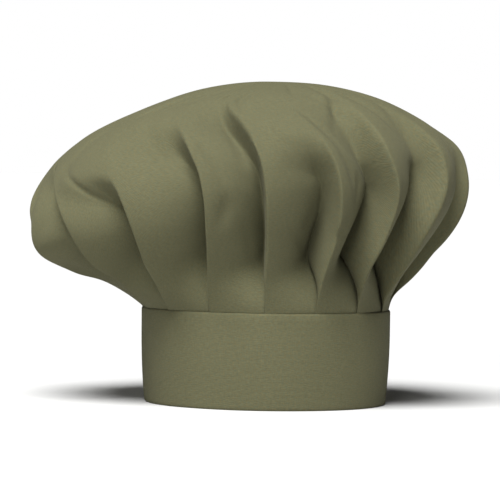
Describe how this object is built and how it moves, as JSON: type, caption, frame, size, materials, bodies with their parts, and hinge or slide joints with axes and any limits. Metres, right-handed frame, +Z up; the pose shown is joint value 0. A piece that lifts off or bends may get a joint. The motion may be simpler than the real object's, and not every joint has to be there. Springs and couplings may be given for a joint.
{
  "type": "chef toque",
  "caption": "Chef's hat: a floppy pleated crown sewn into a tall stiffened headband that closes at the back with an overlapping hook-and-loop end.",
  "frame": {"origin": "centre of the head opening, on the plane of the band's lower edge", "axes": "+Z up along the head opening's axis, the wearer's face towards -Y, the closure at +Y, +X to the right as seen from the front; the crown flops furthest towards -X"},
  "size_m": [0.3559, 0.2902, 0.2577],
  "materials": {
    "poplin": "olive green polyester-cotton poplin, matt",
    "interlining": "stiff off-white sew-in interlining",
    "thread": "spun polyester sewing thread, matched to the cloth",
    "hook_tape": "woven tape with moulded hooks",
    "loop_tape": "woven tape with brushed loops",
    "label": "blank woven satin label"
  },
  "bodies": {
    "band": {"band_cloth": "poplin", "band_interlining": "interlining", "crown_seam_stitching": "thread", "facing_stitching": "thread", "loop_tape": "loop_tape", "loop_tape_stitching": "thread", "care_label": "label"},
    "free_end": {"overlap_end": "poplin", "overlap_interlining": "interlining", "overlap_edge_stitching": "thread", "hook_tape": "hook_tape", "hook_tape_stitching": "thread"},
    "crown": {"crown": "poplin", "slit_binding": "poplin", "slit_bartack": "thread"}
  },
  "joints": [
    {"name": "closure_peel", "type": "hinge", "parent": "band", "child": "free_end", "pos_m": [-0.04868, 0.09156, 0.0374], "axis": [0, 0, 1], "range_deg": [0, 95]},
    {"name": "crown_collapse", "type": "slide", "parent": "band", "child": "crown", "axis": [0, 0, -1], "range_m": [0, 0.109], "deforming": ["crown", "slit_binding", "slit_bartack"]}
  ]
}
